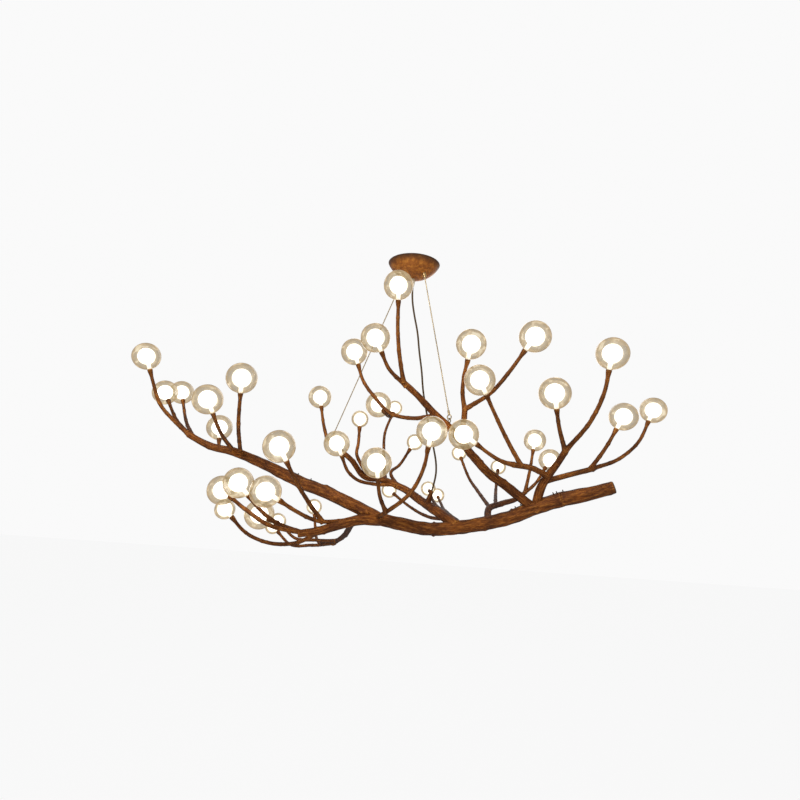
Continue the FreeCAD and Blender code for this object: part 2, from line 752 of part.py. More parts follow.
plate_body = doc.addObject("PartDesign::Body", "plate_body")
plate_sketch = ring_sketch(plate_body, [
    (None, "@plate_diameter / 2"),
    ("-@plate_hole_spacing / 2", "@plate_hole_diameter / 2"),
    ("@plate_hole_spacing / 2", "@plate_hole_diameter / 2"),
    (None, "@nipple_diameter / 2"),
])
plate_pad = plate_body.newObject("PartDesign::Pad", "plate_pad")
plate_pad.Profile = plate_sketch
plate_pad.Reversed = True
plate_pad.setExpression("Length", cell("@plate_thickness"))
node("ceiling_plate", plate_body)

below_plate = "-@plate_thickness"
nut = shaped("Part::Prism", "nut_hexagon", below_plate + " - @nut_height",
             Circumradius="@nut_width / sqrt(3)", Height="@nut_height")
nut.Polygon = 6
nipple_room = shaped("Part::Cylinder", "nipple_room", "-@canopy_depth - @gland_length",
                     Radius="@nipple_diameter / 2", Height="@canopy_depth + @gland_length")
node("lock_nut", cut("lock_nut_cut", nut, nipple_room))
nipple_foot = "-@canopy_depth - @gland_length / 2"
nipple_height = "@canopy_depth + @gland_length / 2 - @ceiling_gap"
node("threaded_nipple", cut(
    "nipple",
    shaped("Part::Cylinder", "nipple_rod", nipple_foot, Radius="@nipple_diameter / 2", Height=nipple_height),
    shaped("Part::Cylinder", "nipple_hole", nipple_foot, Radius="@nipple_bore / 2", Height=nipple_height)))
gland_foot = "-@canopy_depth - @gland_length"
tail_foot = gland_foot + " - @gland_tail_length"
gland_tail = shaped("Part::Cone", "gland_tail", tail_foot, Radius1="@cord_diameter / 2 + @harness_clearance * 4",
                    Radius2="@gland_diameter / 2", Height="@gland_tail_length")
gland_body = shaped("Part::Cylinder", "gland_body", gland_foot, Radius="@gland_diameter / 2", Height="@gland_length")
gland_thread = shaped("Part::Cylinder", "gland_thread", nipple_foot, Radius="@nipple_diameter / 2",
                      Height="@gland_length / 2")
cord_room = shaped("Part::Cylinder", "cord_room", tail_foot, Radius="@cord_diameter / 2",
                   Height="@gland_length + @gland_tail_length")
node("cord_gland", cut("gland", fuse("gland_whole", gland_body, gland_tail), gland_thread, cord_room))
node("cord_top", shaped("Part::Cylinder", "cord_top_rod", tail_foot, Radius="@cord_diameter / 2",
                        Height="@canopy_depth + @gland_length + @gland_tail_length - @cord_top_gap"))

dome_radius = "(@canopy_diameter ^ 2 / 4 + @canopy_depth ^ 2) / (2 * @canopy_depth)"
dome_centre = dome_radius + " - @canopy_depth"
dome = shaped("Part::Sphere", "dome", dome_centre, Radius=dome_radius)
rim = shaped("Part::Cylinder", "rim", "-@canopy_depth - @canopy_wall", Radius="@canopy_diameter / 2",
             Height="@canopy_depth + @canopy_wall - @ceiling_gap")
bowl = doc.addObject("Part::Common", "bowl")
bowl.Base = dome
bowl.Tool = rim
dome_inside = shaped("Part::Sphere", "dome_inside", dome_centre, Radius=dome_radius + " - @canopy_wall")

# ---------------------------------------------------------------- the two cables and their grippers
bearing = Vector(eye_line.x, eye_line.y, 0).normalize()
dome_r = (size("canopy_diameter")**2 / 4 + size("canopy_depth")**2) / (2 * size("canopy_depth"))
half_spacing = size("cable_spacing") / 2
seat_height = dome_r - size("canopy_depth") - math.sqrt(dome_r**2 - half_spacing**2)
below = size("gripper_length") - size("gripper_above")
cable_radius = size("cable_diameter") / 2
exits = {}
hinges = {}
gripper_rooms = []
tails = []
grippers = []
ferrules = []
for side, eye, sign in (("left", left_eye, -1), ("right", right_eye, 1)):
    seat = bearing * (sign * half_spacing) + Vector(0, 0, seat_height)
    upward = seat - eye
    square = (upward - eye_line * upward.dot(eye_line)).normalize()
    ring_top = size("ring_radius") - size("ring_wire_diameter") / 2
    hinge = eye + square * (ring_top - size("ring_clearance") - cable_radius)
    loop_centre = hinge + square * size("loop_radius")
    loop_top = loop_centre + square * size("loop_radius")
    down = (loop_top - seat).normalize()
    length = (loop_top - seat).Length
    mouth = below + size("plunger_stand")
    exits[side] = seat + down * mouth
    hinges[side] = hinge
    body_room = rod(seat, down, size("gripper_diameter") / 2, -size("gripper_above"), below)
    gripper_rooms.append(body_room)
    plunger_top = below - size("plunger_hidden")
    bore = rod(seat, down, cable_radius + size("cable_clearance"), -size("gripper_above"), below)
    guide = rod(seat, down, size("plunger_diameter") / 2 + size("plunger_fit"),
                plunger_top - size("plunger_travel") - size("plunger_fit"), below)
    grippers.append(body_room.cut([bore, guide]))
    plunger = rod(seat, down, size("plunger_diameter") / 2, plunger_top, mouth)
    passage = rod(seat, down, cable_radius + size("cable_clearance"), plunger_top, mouth)
    feature("release_" + side, [plunger.cut(passage)])
    tails.append(rod(seat, down, cable_radius, -size("gripper_above") - size("gripper_diameter") / 2, mouth))
    feature("cable_" + side, [rod(seat, down, cable_radius, mouth + size("cable_clearance"),
                                  length - size("ferrule_length"))])
    loop = Part.makeTorus(size("loop_radius"), cable_radius)
    loop.Placement = frame_along(loop_centre, eye_line.cross(square))
    sleeve = rod(seat, down, size("ferrule_diameter") / 2, length - size("ferrule_length"), length)
    ferrules.append(loop.fuse(sleeve))
feature("cable_grippers", grippers)
feature("cable_tails", tails)
feature("cable_loops", ferrules)

canopy_rooms = doc.addObject("Part::Feature", "canopy_rooms")
canopy_rooms.Shape = Part.Compound(gripper_rooms)
node("canopy_cover", cut("canopy", bowl, dome_inside, nipple_room, canopy_rooms))

# ---------------------------------------------------------------- driver and terminals inside the canopy
turn = FreeCAD.Rotation(Vector(1, 0, 0), bearing)
across = Vector(-bearing.y, bearing.x, 0)


def beside(name, offset, prefix):
    """A box under the plate, turned to lie along the cables' line, to one side of the nipple."""
    box = doc.addObject("Part::Box", name)
    for prop, suffix in (("Length", "_length"), ("Width", "_width"), ("Height", "_height")):
        box.setExpression(prop, cell("@" + prefix + suffix))
    corner = across * (offset - size(prefix + "_width") / 2) - bearing * (size(prefix + "_length") / 2)
    top = -size("plate_thickness") - size(prefix + "_height")
    box.Placement = FreeCAD.Placement(corner + Vector(0, 0, top), turn)
    return box


node("led_driver", beside("driver_box", size("driver_offset"), "driver"))
node("terminal_block", beside("terminal_box", -size("terminal_offset"), "terminal"))

# ---------------------------------------------------------------- free power cord
gland_end = -size("canopy_depth") - size("gland_length") - size("gland_tail_length")
CORD_ROUTE = [
    (0, 0, -136), (13, 9, -200), (32, 15, -270), (42, 22, -342), (57, 30, -414), (66, 40, -487),
    (83, 48, -559), (101, 58, -630), (121, 62, -700), (136, 70, -760),
]


def cord_tube(points, diameter):
    """A tube of straight runs joined by tangent arcs, each as large as its two runs allow."""
    edges = []
    last = points[0]
    radii = []
    for before, corner, after in zip(points, points[1:], points[2:]):
        come = (before - corner).normalize()
        leave = (after - corner).normalize()
        half_turn = (math.pi - come.getAngle(leave)) / 2
        reach = 0.45 * min((before - corner).Length, (after - corner).Length)
        radii.append(reach / math.tan(half_turn))
        begin = corner + come * reach
        finish = corner + leave * reach
        bisector = (come + leave).normalize()
        middle = corner + bisector * (radii[-1] / math.cos(half_turn) - radii[-1])
        edges.append(Part.LineSegment(last, begin).toShape())
        edges.append(Part.Arc(begin, middle, finish).toShape())
        last = finish
    edges.append(Part.LineSegment(last, points[-1]).toShape())
    path = Part.Wire(edges)
    start = (points[1] - points[0]).normalize()
    section = Part.Wire(Part.makeCircle(diameter / 2, points[0], start))
    body = path.makePipeShell([section], True, False)
    full = math.pi * diameter**2 / 4 * path.Length
    print("cord length %.0f, least radius %.0f, volume share %.4f" % (path.Length, min(radii), body.Volume / full))
    return body


route = [Vector(0, 0, gland_end)] + [Vector(*p) for p in CORD_ROUTE]
route += [stub_tip + stub_way * size("cord_last_run"), stub_tip]
feature("power_cord", [cord_tube(route, size("cord_diameter"))])

# ---------------------------------------------------------------- check and write
doc.recompute()
for item in doc.Objects:
    state = [word for word in item.State if word in ("Invalid", "Error")]
    if state:
        raise RuntimeError("%s did not build: %s" % (item.Name, state))
os.makedirs("parts", exist_ok=True)
for label, item in nodes.items():
    if item.Shape.isNull() or not item.Shape.isValid() or not item.Shape.Solids:
        raise RuntimeError("%s has no valid solid" % label)
    item.Shape.exportStep("parts/%s.step" % label)
print("wrote %d sub-parts" % len(nodes))
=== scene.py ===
"""Looks of the branch chandelier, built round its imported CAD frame. Lengths are in millimetres
until they go into a mesh or a curve, which are in metres."""
import math
import bpy
import bmesh
import numpy as np
from mathutils import Matrix, Vector


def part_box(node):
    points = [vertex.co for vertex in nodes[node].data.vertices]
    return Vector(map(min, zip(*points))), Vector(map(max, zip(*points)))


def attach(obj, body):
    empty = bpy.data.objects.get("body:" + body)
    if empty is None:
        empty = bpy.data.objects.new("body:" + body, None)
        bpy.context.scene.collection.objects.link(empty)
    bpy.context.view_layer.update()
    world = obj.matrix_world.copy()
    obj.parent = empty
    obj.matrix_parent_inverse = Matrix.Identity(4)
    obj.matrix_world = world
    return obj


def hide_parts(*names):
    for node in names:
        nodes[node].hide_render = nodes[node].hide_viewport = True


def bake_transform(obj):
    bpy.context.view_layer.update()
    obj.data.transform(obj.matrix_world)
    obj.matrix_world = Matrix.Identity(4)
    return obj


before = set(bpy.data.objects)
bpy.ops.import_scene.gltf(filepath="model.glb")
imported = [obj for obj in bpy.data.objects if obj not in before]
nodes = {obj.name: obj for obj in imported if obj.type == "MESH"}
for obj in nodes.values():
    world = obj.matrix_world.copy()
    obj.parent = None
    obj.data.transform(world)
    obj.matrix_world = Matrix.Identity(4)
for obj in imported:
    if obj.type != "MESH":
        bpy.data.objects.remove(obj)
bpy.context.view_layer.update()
scene = bpy.context.scene
MM = 0.001

# Camera: level with the middle of the branch, looking slightly up, with the horizon tipped a little.
LENS = 22.5
SENSOR_WIDTH = 36.0
CAMERA_PLACE = (-18.3, -1832.8, -844.0)
PITCH, ROLL = math.radians(9.5), math.radians(4.0)
forward = Vector((0, math.cos(PITCH), math.sin(PITCH)))
level_up = Vector((0, -math.sin(PITCH), math.cos(PITCH)))
level_right = Vector((1, 0, 0))
right = level_right * math.cos(ROLL) + level_up * math.sin(ROLL)
up = level_up * math.cos(ROLL) - level_right * math.sin(ROLL)
lens = bpy.data.cameras.new("photo_camera")
lens.lens, lens.sensor_width = LENS, SENSOR_WIDTH
lens.clip_end = 50.0
camera = bpy.data.objects.new("photo_camera", lens)
turned = Matrix((right, up, -forward)).transposed().to_4x4()
camera.matrix_world = Matrix.Translation(Vector(CAMERA_PLACE) * MM) @ turned
scene.collection.objects.link(camera)
scene.camera = camera
scene.view_settings.view_transform = "Standard"


def linear(code):
    """Linear red, green, blue and alpha of an sRGB hex colour."""
    parts = [int(code[k:k + 2], 16) / 255 for k in (1, 3, 5)]
    return [c / 12.92 if c <= 0.04045 else ((c + 0.055) / 1.055) ** 2.4 for c in parts] + [1.0]


def add(tree, kind, inputs=None, **settings):
    """A node with its settings, and each input either linked to a socket or given a value."""
    made = tree.nodes.new(kind)
    for name, value in settings.items():
        setattr(made, name, value)
    for name, value in (inputs or {}).items():
        if isinstance(value, bpy.types.NodeSocket):
            tree.links.new(value, made.inputs[name])
        else:
            made.inputs[name].default_value = value
    return made


def finish(name, build, **surface):
    """A material whose Principled surface takes its values, and its patterns from build."""
    material = bpy.data.materials.new(name)
    material.use_nodes = True
    tree = material.node_tree
    shader = tree.nodes["Principled BSDF"]
    for key, value in surface.items():
        shader.inputs[key.replace("_", " ")].default_value = value
    if build:
        build(tree, shader)
    return material


def ramp(tree, factor, stops):
    """A colour ramp of (position, hex) stops."""
    made = add(tree, "ShaderNodeValToRGB", {"Fac": factor})
    elements = made.color_ramp.elements
    while len(elements) < len(stops):
        elements.new(0.5)
    for element, (place, code) in zip(elements, stops):
        element.position = place
        element.color = linear(code)
    return made.outputs["Color"]


def dress(name, material):
    """Give a CAD node's own mesh a finish."""
    piece = nodes[name]
    for slot in piece.material_slots:
        slot.link = "OBJECT"
        slot.material = material


# Power cord: a 7 mm round cord in brown textile braid. It leaves the gland under the rose, hangs
# slack beside the cables and goes into the stub on the back limb.
CORD_DIAMETER, CORD_LENGTH = 7.0, 792.0
CORD_START = (0, 0, -92)
CORD_ROUTE = [
    (0, 0, -136), (13, 9, -200), (32, 15, -270), (42, 22, -342), (57, 30, -414), (66, 40, -487),
    (83, 48, -559), (101, 58, -630), (121, 62, -700), (136, 70, -760),
]
CORD_END = (125.0, 85.0, -862.0)
CORD_LAST = (136.53, 69.4, -813.75)


def strand(name, points, diameter, material):
    """A round cord on one smooth curve that has the given points as control points."""
    data = bpy.data.curves.new(name, "CURVE")
    data.dimensions = "3D"
    spline = data.splines.new("NURBS")
    spline.points.add(len(points) - 1)
    for place, point in zip(spline.points, points):
        place.co = (point[0] * MM, point[1] * MM, point[2] * MM, 1.0)
    spline.order_u = 3
    spline.use_endpoint_u = True
    spline.resolution_u = 12
    data.bevel_depth = diameter / 2 * MM
    data.bevel_resolution = 5
    data.use_fill_caps = True
    data.materials.append(material)
    piece = bpy.data.objects.new(name, data)
    scene.collection.objects.link(piece)
    return piece


def braid(tree, shader):
    """Light and dark flecks about 1.5 mm across, where the threads of the braid cross."""
    place = add(tree, "ShaderNodeTexCoord").outputs["Object"]
    noise = add(tree, "ShaderNodeTexNoise", {"Vector": place, "Scale": 700.0, "Detail": 2.0})
    tone = ramp(tree, noise.outputs["Fac"], [(0.3, "#2e2010"), (0.7, "#66502c")])
    tree.links.new(tone, shader.inputs["Base Color"])


# Textile braid: cotton over a round core, matt, with the threads just showing as flecks.
textile_braid = finish("textile_braid_brown", braid, Roughness=0.85)
cord_points = [CORD_START] + CORD_ROUTE + [CORD_LAST, CORD_END]
cord_curve = strand("cord_route", cord_points, CORD_DIAMETER, textile_braid)
tube_mesh = bpy.data.meshes.new_from_object(cord_curve.evaluated_get(bpy.context.evaluated_depsgraph_get()))
# Without its thickness, the same curve gives the cord's middle line.
cord_curve.data.bevel_depth = 0.0
line_mesh = bpy.data.meshes.new_from_object(cord_curve.evaluated_get(bpy.context.evaluated_depsgraph_get()))
bpy.data.objects.remove(cord_curve)
power_cord = bpy.data.objects.new("power_cord_braided", tube_mesh)
scene.collection.objects.link(power_cord)
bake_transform(power_cord)
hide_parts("power_cord")

# Hanging cables: stranded stainless wire, 4 mm, each straight from its gripper to its loop.
CABLE_DIAMETER = 4.0


def wire(tree, shader):
    """Fine flecks from the strands of the wire, in a warm tone that is partly a little tarnish and partly
    painted lamp light.
    """
    place = add(tree, "ShaderNodeTexCoord").outputs["Object"]
    noise = add(tree, "ShaderNodeTexNoise", {"Vector": place, "Scale": 500.0, "Detail": 2.0})
    tone = ramp(tree, noise.outputs["Fac"], [(0.3, "#8a7350"), (0.7, "#d2bf98")])
    tree.links.new(tone, shader.inputs["Base Color"])


# Stranded stainless wire, painted warm as if lit by the lamps; half matt because of its strands.
strand_wire = finish("stranded_stainless_wire", wire, Metallic=0.6, Roughness=0.45)
# lean says which way each cable leans on its way down, along x and along y.
for side, lean in (("left", (-1, 1)), ("right", (1, -1))):
    low, high = (np.array(corner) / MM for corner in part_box("cable_" + side))
    span = high - low
    way = span / np.linalg.norm(span)
    rim = CABLE_DIAMETER / 2 * np.sqrt(1 - way**2)
    low, high = low + rim, high - rim
    top = np.array([high[0] if lean[0] < 0 else low[0], low[1] if lean[1] > 0 else high[1], high[2]])
    foot = np.array([low[0] if lean[0] < 0 else high[0], high[1] if lean[1] > 0 else low[1], low[2]])
    cable = strand("cable_%s_wire" % side, [top, (top + foot) / 2, foot], CABLE_DIAMETER, strand_wire)
    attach(cable, "suspension")
    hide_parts("cable_" + side)

# Limbs: hollow cast resin branches with a bark texture, stained brown by hand. Each is a length of
# tube that is coped to its neighbour, so its root lies inside the limb that carries it.
BRANCH_DATUM = np.array([0.0, -5.0, -2.0])
RING_STEP = 3.0
LAP = 4.0
# Ridges: how many waves, and the range of their lengths. Knots: one to each spacing, with the ranges of
# their widths and of their heights as shares of the limb's radius.
RIDGES, RIDGE_LENGTHS = 14, (40, 220)
KNOT_SPACING, KNOT_WIDTHS, KNOT_HEIGHTS = 55, (4, 9), (0.08, 0.2)
# Depth of the relief as a share of the radius, points round a limb, and the soft edge of a cut end.
LIMB_RELIEF, LIMB_AROUND, END_EDGE, END_DROP = 0.07, 72, 5.0, 0.10
# The cut end's face: how far out each ring is and how far it is domed.
END_FACE = ((0.9, 1.0), (0.6, 1.2), (0.3, 1.3), (0.0, 1.3))
# Diameter at the root and at the tip, then the points that the limb passes through.
LIMBS = {
    "trunk": (49, 44,
        [(550, -120, -855), (480, -85, -885), (380, -50, -935), (260, -20, -970),
         (140, -20, -990), (10, -30, -980), (-65, -40, -965)]),
    "butt_end": (49, 40,
        [(550, -120, -855), (630, -155, -830), (695, -190, -805)]),
    "left_knuckle": (44, 44,
        [(-65, -40, -965), (-175, -30, -920), (-255, -15, -890), (-350, 0, -863)]),
    "left_limb": (44, 22,
        [(-350, 0, -863), (-485, 10, -810), (-605, 25, -770), (-715, 35, -750),
         (-795, 35, -715)]),
    "front_limb": (40, 24,
        [(-50, -35, -970), (-140, -80, -975), (-190, -110, -990), (-265, -135, -1015),
         (-320, -145, -1025)]),
    "back_limb": (38, 18,
        [(210, -25, -972), (140, 65, -930), (80, 160, -895), (20, 235, -860),
         (-70, 250, -830), (-135, 248, -825), (-205, 238, -755), (-290, 250, -698),
         (-311, 253, -684)]),
    "crown_limb": (34, 20,
        [(460, -80, -890), (385, -78, -835), (305, -88, -785), (240, -106, -725),
         (155, -128, -640), (100, -138, -595), (20, -155, -525), (-15, -170, -500)]),
    "right_limb": (32, 20,
        [(470, -85, -885), (485, -110, -810), (500, -125, -780), (520, -185, -725),
         (530, -210, -695)]),
    "rear_limb": (26, 18,
        [(225, -15, -970), (210, 170, -955), (200, 340, -940)]),
    "far_limb": (26, 18,
        [(320, -35, -955), (340, 70, -910), (410, 170, -890), (485, 255, -870),
         (540, 320, -840)]),
    "low_limb": (24, 16,
        [(-150, -85, -978), (-190, 110, -1045), (-250, 295, -1100)]),
}
LIMBS["cord_stub"] = (26, 13, [(112, 105, -912), (119, 98, -885), (125, 90, -860)])


def smooth_line(points, step):
    """Even points along a cubic curve whose slope at each given point is the weighted mean of both runs."""
    runs = np.diff(points, axis=0)
    lengths = np.linalg.norm(runs, axis=1)
    slopes = runs / lengths[:, None]
    inner = (slopes[:-1] * lengths[1:, None] + slopes[1:] * lengths[:-1, None])
    tangents = np.vstack([slopes[:1], inner / (lengths[:-1] + lengths[1:])[:, None], slopes[-1:]])
    u = np.linspace(0, 1, 40)[None, :, None]
    start, end, size = points[:-1, None], points[1:, None], lengths[:, None, None]
    line = (start * (2 * u**3 - 3 * u**2 + 1) + end * (3 * u**2 - 2 * u**3)
            + tangents[:-1, None] * size * (u**3 - 2 * u**2 + u) + tangents[1:, None] * size * (u**3 - u**2))
    line = np.vstack([line[:, :-1].reshape(-1, 3), points[-1:]])
    marks = np.concatenate([[0], np.cumsum(np.linalg.norm(np.diff(line, axis=0), axis=1))])
    stations = np.linspace(0, marks[-1], max(4, int(marks[-1] / step)))
    return stations, np.stack([np.interp(stations, marks, line[:, k]) for k in range(3)], axis=1)


def frames(line):
    """Tangent and two square directions at each point, the first from the way the line bends least."""
    tangent = np.gradient(line, axis=0)
    tangent /= np.linalg.norm(tangent, axis=1)[:, None]
    flat = np.linalg.svd(tangent)[2][-1]
    side = flat - tangent * (tangent @ flat)[:, None]
    side /= np.linalg.norm(side, axis=1)[:, None]
    return tangent, side, np.cross(tangent, side)


def bark_relief(angle, along, radius, chance, depth):
    """Height of the bark: long ridges as a sum of waves round and along the limb, and a few knots."""
    relief = np.zeros(np.broadcast(angle, along).shape)
    for _ in range(RIDGES):
        turns = chance.integers(1, 12)
        length = chance.uniform(*RIDGE_LENGTHS)
        relief += np.cos(turns * angle + along / length * 2 * math.pi * chance.choice([-1, 1])
                         + chance.uniform(0, 7)) / (3 + 0.5 * turns)
    relief *= depth * radius
    for _ in range(int(along.max() / KNOT_SPACING)):
        middle, spot = chance.uniform(0, along.max()), chance.uniform(0, 2 * math.pi)
        wide = chance.uniform(*KNOT_WIDTHS)
        away = (along - middle) ** 2 + (radius * (np.cos(angle) - math.cos(spot))) ** 2 \
            + (radius * (np.sin(angle) - math.sin(spot))) ** 2
        relief += chance.uniform(*KNOT_HEIGHTS) * radius * np.exp(-away / wide**2)
    return relief


def tube_grid(line, radius, along, relief, around):
    """Rings of points round a line, each at the radius plus the relief there."""
    tangent, side, other = frames(line)
    angle = np.linspace(0, 2 * math.pi, around, endpoint=False)[None, :]
    reach = radius[:, None] + relief(angle, along[:, None], radius[:, None])
    across, beside = reach * np.cos(angle), reach * np.sin(angle)
    points = line[:, None] + side[:, None] * across[..., None] + other[:, None] * beside[..., None]
    return points, np.stack([across, beside, np.broadcast_to(along[:, None], reach.shape)], -1)


def grid_faces(rows, columns, first):
    """Four-sided faces of a grid that closes on itself sideways."""
    row, column = np.meshgrid(np.arange(rows - 1), np.arange(columns), indexing="ij")
    beside = (column + 1) % columns
    here, ahead = row * columns, (row + 1) * columns
    faces = np.stack([here + column, here + beside, ahead + beside, ahead + column], -1)
    return first + faces.reshape(-1, 4)


def mesh_piece(name, grids, material, grains=None):
    """One object from several grids of points in millimetres; rings drawn to a point are merged."""
    points, faces, first = [], [], 0
    for grid in grids:
        points.append(grid.reshape(-1, 3))
        faces.append(grid_faces(grid.shape[0], grid.shape[1], first))
        first += grid.shape[0] * grid.shape[1]
    data = bpy.data.meshes.new(name)
    data.from_pydata((np.vstack(points) * MM).tolist(), [], np.vstack(faces).tolist())
    if grains is not None:
        layer = data.attributes.new("bark_grain", "FLOAT_VECTOR", "POINT")
        layer.data.foreach_set("vector", (np.vstack([g.reshape(-1, 3) for g in grains]) * MM).ravel())
    whole = bmesh.new()
    whole.from_mesh(data)
    bmesh.ops.remove_doubles(whole, verts=whole.verts, dist=1e-6)
    bmesh.ops.recalc_face_normals(whole, faces=whole.faces)
    whole.to_mesh(data)
    whole.free()
    data.shade_smooth()
    data.materials.append(material)
    piece = bpy.data.objects.new(name, data)
    scene.collection.objects.link(piece)
    return piece


# The numbers of a Mix node's inputs for its share and its two colours.
SHARE, FIRST, SECOND = 0, 6, 7


def stained_bark(tree, shader):
    """Long fibres 2 mm wide, patches of stain some 60 mm across, painted shade in the grooves that leaves the
    ridges lighter, and painted olive shade towards the edges, where the limb turns away from view."""
    grain = add(tree, "ShaderNodeAttribute", attribute_name="bark_grain").outputs["Vector"]
    stretched = add(tree, "ShaderNodeMapping", {"Vector": grain, "Scale": (1.0, 1.0, 0.16)})
    fibre = add(tree, "ShaderNodeTexNoise", {"Vector": stretched.outputs["Vector"], "Scale": 330.0,
                                             "Detail": 6.0, "Roughness": 0.65})
    place = add(tree, "ShaderNodeTexCoord").outputs["Object"]
    patch = add(tree, "ShaderNodeTexNoise", {"Vector": place, "Scale": 16.0, "Detail": 3.0})
    tone = ramp(tree, fibre.outputs["Fac"],
                [(0.28, "#64380f"), (0.44, "#945a26"), (0.58, "#c48540"), (0.75, "#eeb264")])
    stain = ramp(tree, patch.outputs["Fac"], [(0.35, "#94806a"), (0.65, "#fff2cc")])
    mixed = add(tree, "ShaderNodeMix", {SHARE: 0.8, FIRST: tone, SECOND: stain}, data_type="RGBA",
                blend_type="MULTIPLY")
    # Painted shade: darkest in the grooves, tan on flat bark and none on the ridges, from the mesh's
    # pointiness.
    curve = add(tree, "ShaderNodeNewGeometry")
    painted_groove_shade = ramp(tree, curve.outputs["Pointiness"], [(0.45, "#3a2412"), (0.5, "#b79c78"), (0.55, "#ffffff")])
    deep = add(tree, "ShaderNodeMix", {SHARE: 0.85, FIRST: mixed.outputs[2], SECOND: painted_groove_shade},
               data_type="RGBA", blend_type="MULTIPLY")
    # Painted shade: the bark turns olive brown towards its edges, where it turns away from view.
    edge = add(tree, "ShaderNodeLayerWeight", {"Blend": 0.5})
    side = ramp(tree, edge.outputs["Facing"], [(0.3, "#ffffff"), (0.85, "#80704e")])
    turned = add(tree, "ShaderNodeMix", {SHARE: 1.0, FIRST: deep.outputs[2], SECOND: side},
                 data_type="RGBA", blend_type="MULTIPLY")
    tree.links.new(turned.outputs[2], shader.inputs["Base Color"])
    relief = add(tree, "ShaderNodeBump",
                 {"Height": fibre.outputs["Fac"], "Strength": 0.7, "Distance": 0.0015})
    tree.links.new(relief.outputs["Normal"], shader.inputs["Normal"])


# Cast resin stained like bark, with a slight wax sheen, and painted shade in the grooves that leaves the
# ridges lighter.
bark = finish("stained_cast_resin_bark", stained_bark, Roughness=0.68, Specular_IOR_Level=0.2)


def place_points(points):
    """Design points carried to the branch datum."""
    return np.array(points, float) + BRANCH_DATUM


for number, (name, (root, tip, points)) in enumerate(LIMBS.items()):
    chance = np.random.default_rng(40 + number)
    along, line = smooth_line(place_points(points), RING_STEP)
    radius = (root + (tip - root) * along / along[-1]) / 2
    end = np.clip((along[-1] - along) / END_EDGE, 0, 1)
    radius = radius * (1 - END_DROP * (1 - end) ** 2)
    relief = lambda angle, s, r, chance=chance: bark_relief(angle, s, r, chance, LIMB_RELIEF)
    points, grain = tube_grid(line, radius, along, relief, LIMB_AROUND)
    tangent = frames(line)[0]
    start = np.broadcast_to(line[0] - tangent[0] * LAP / 2, points[:1].shape)
    face = [line[-1] + (points[-1:] - line[-1]) * share + tangent[-1] * lift for share, lift in END_FACE]
    grid = np.concatenate([start, points] + face)
    face_grains = [grain[-1:] * np.array([share, share, 1]) for share, lift in END_FACE]
    grains = np.concatenate([grain[:1], grain] + face_grains)
    piece = mesh_piece(name + "_bark", [grid], bark, [grains])
    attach(piece, "branch_frame")
    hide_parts(name)

# Twigs: thin solid-looking sprigs of the same stained resin, thicker at the root and at each leaf
# node, that open into a small cup which holds one globe.
GLOBE_RADIUS = {"big": 50.0, "small": 36.0}
HOLE_RADIUS, WASHER, RIM_RADIUS = 7.25, 1.1, 9.15
TWIG_ROOT, TWIG_THIN, ARM_RADIUS, FLARE = 7.5, 6.0, 9.5, 30.0
# Swell of a leaf node and its half width, swell of the root and the length it fades in, length of plain
# surface under the cup, depth of the cup, depth of the bark's relief, and points round a twig.
NODE_SWELL, NODE_WIDTH, ROOT_SWELL, ROOT_FADE = 0.7, 4.5, 3.0, 14.0
CALM_LENGTH, CUP_DEPTH, TWIG_RELIEF, TWIG_AROUND = 20.0, 8.0, 0.03, 28
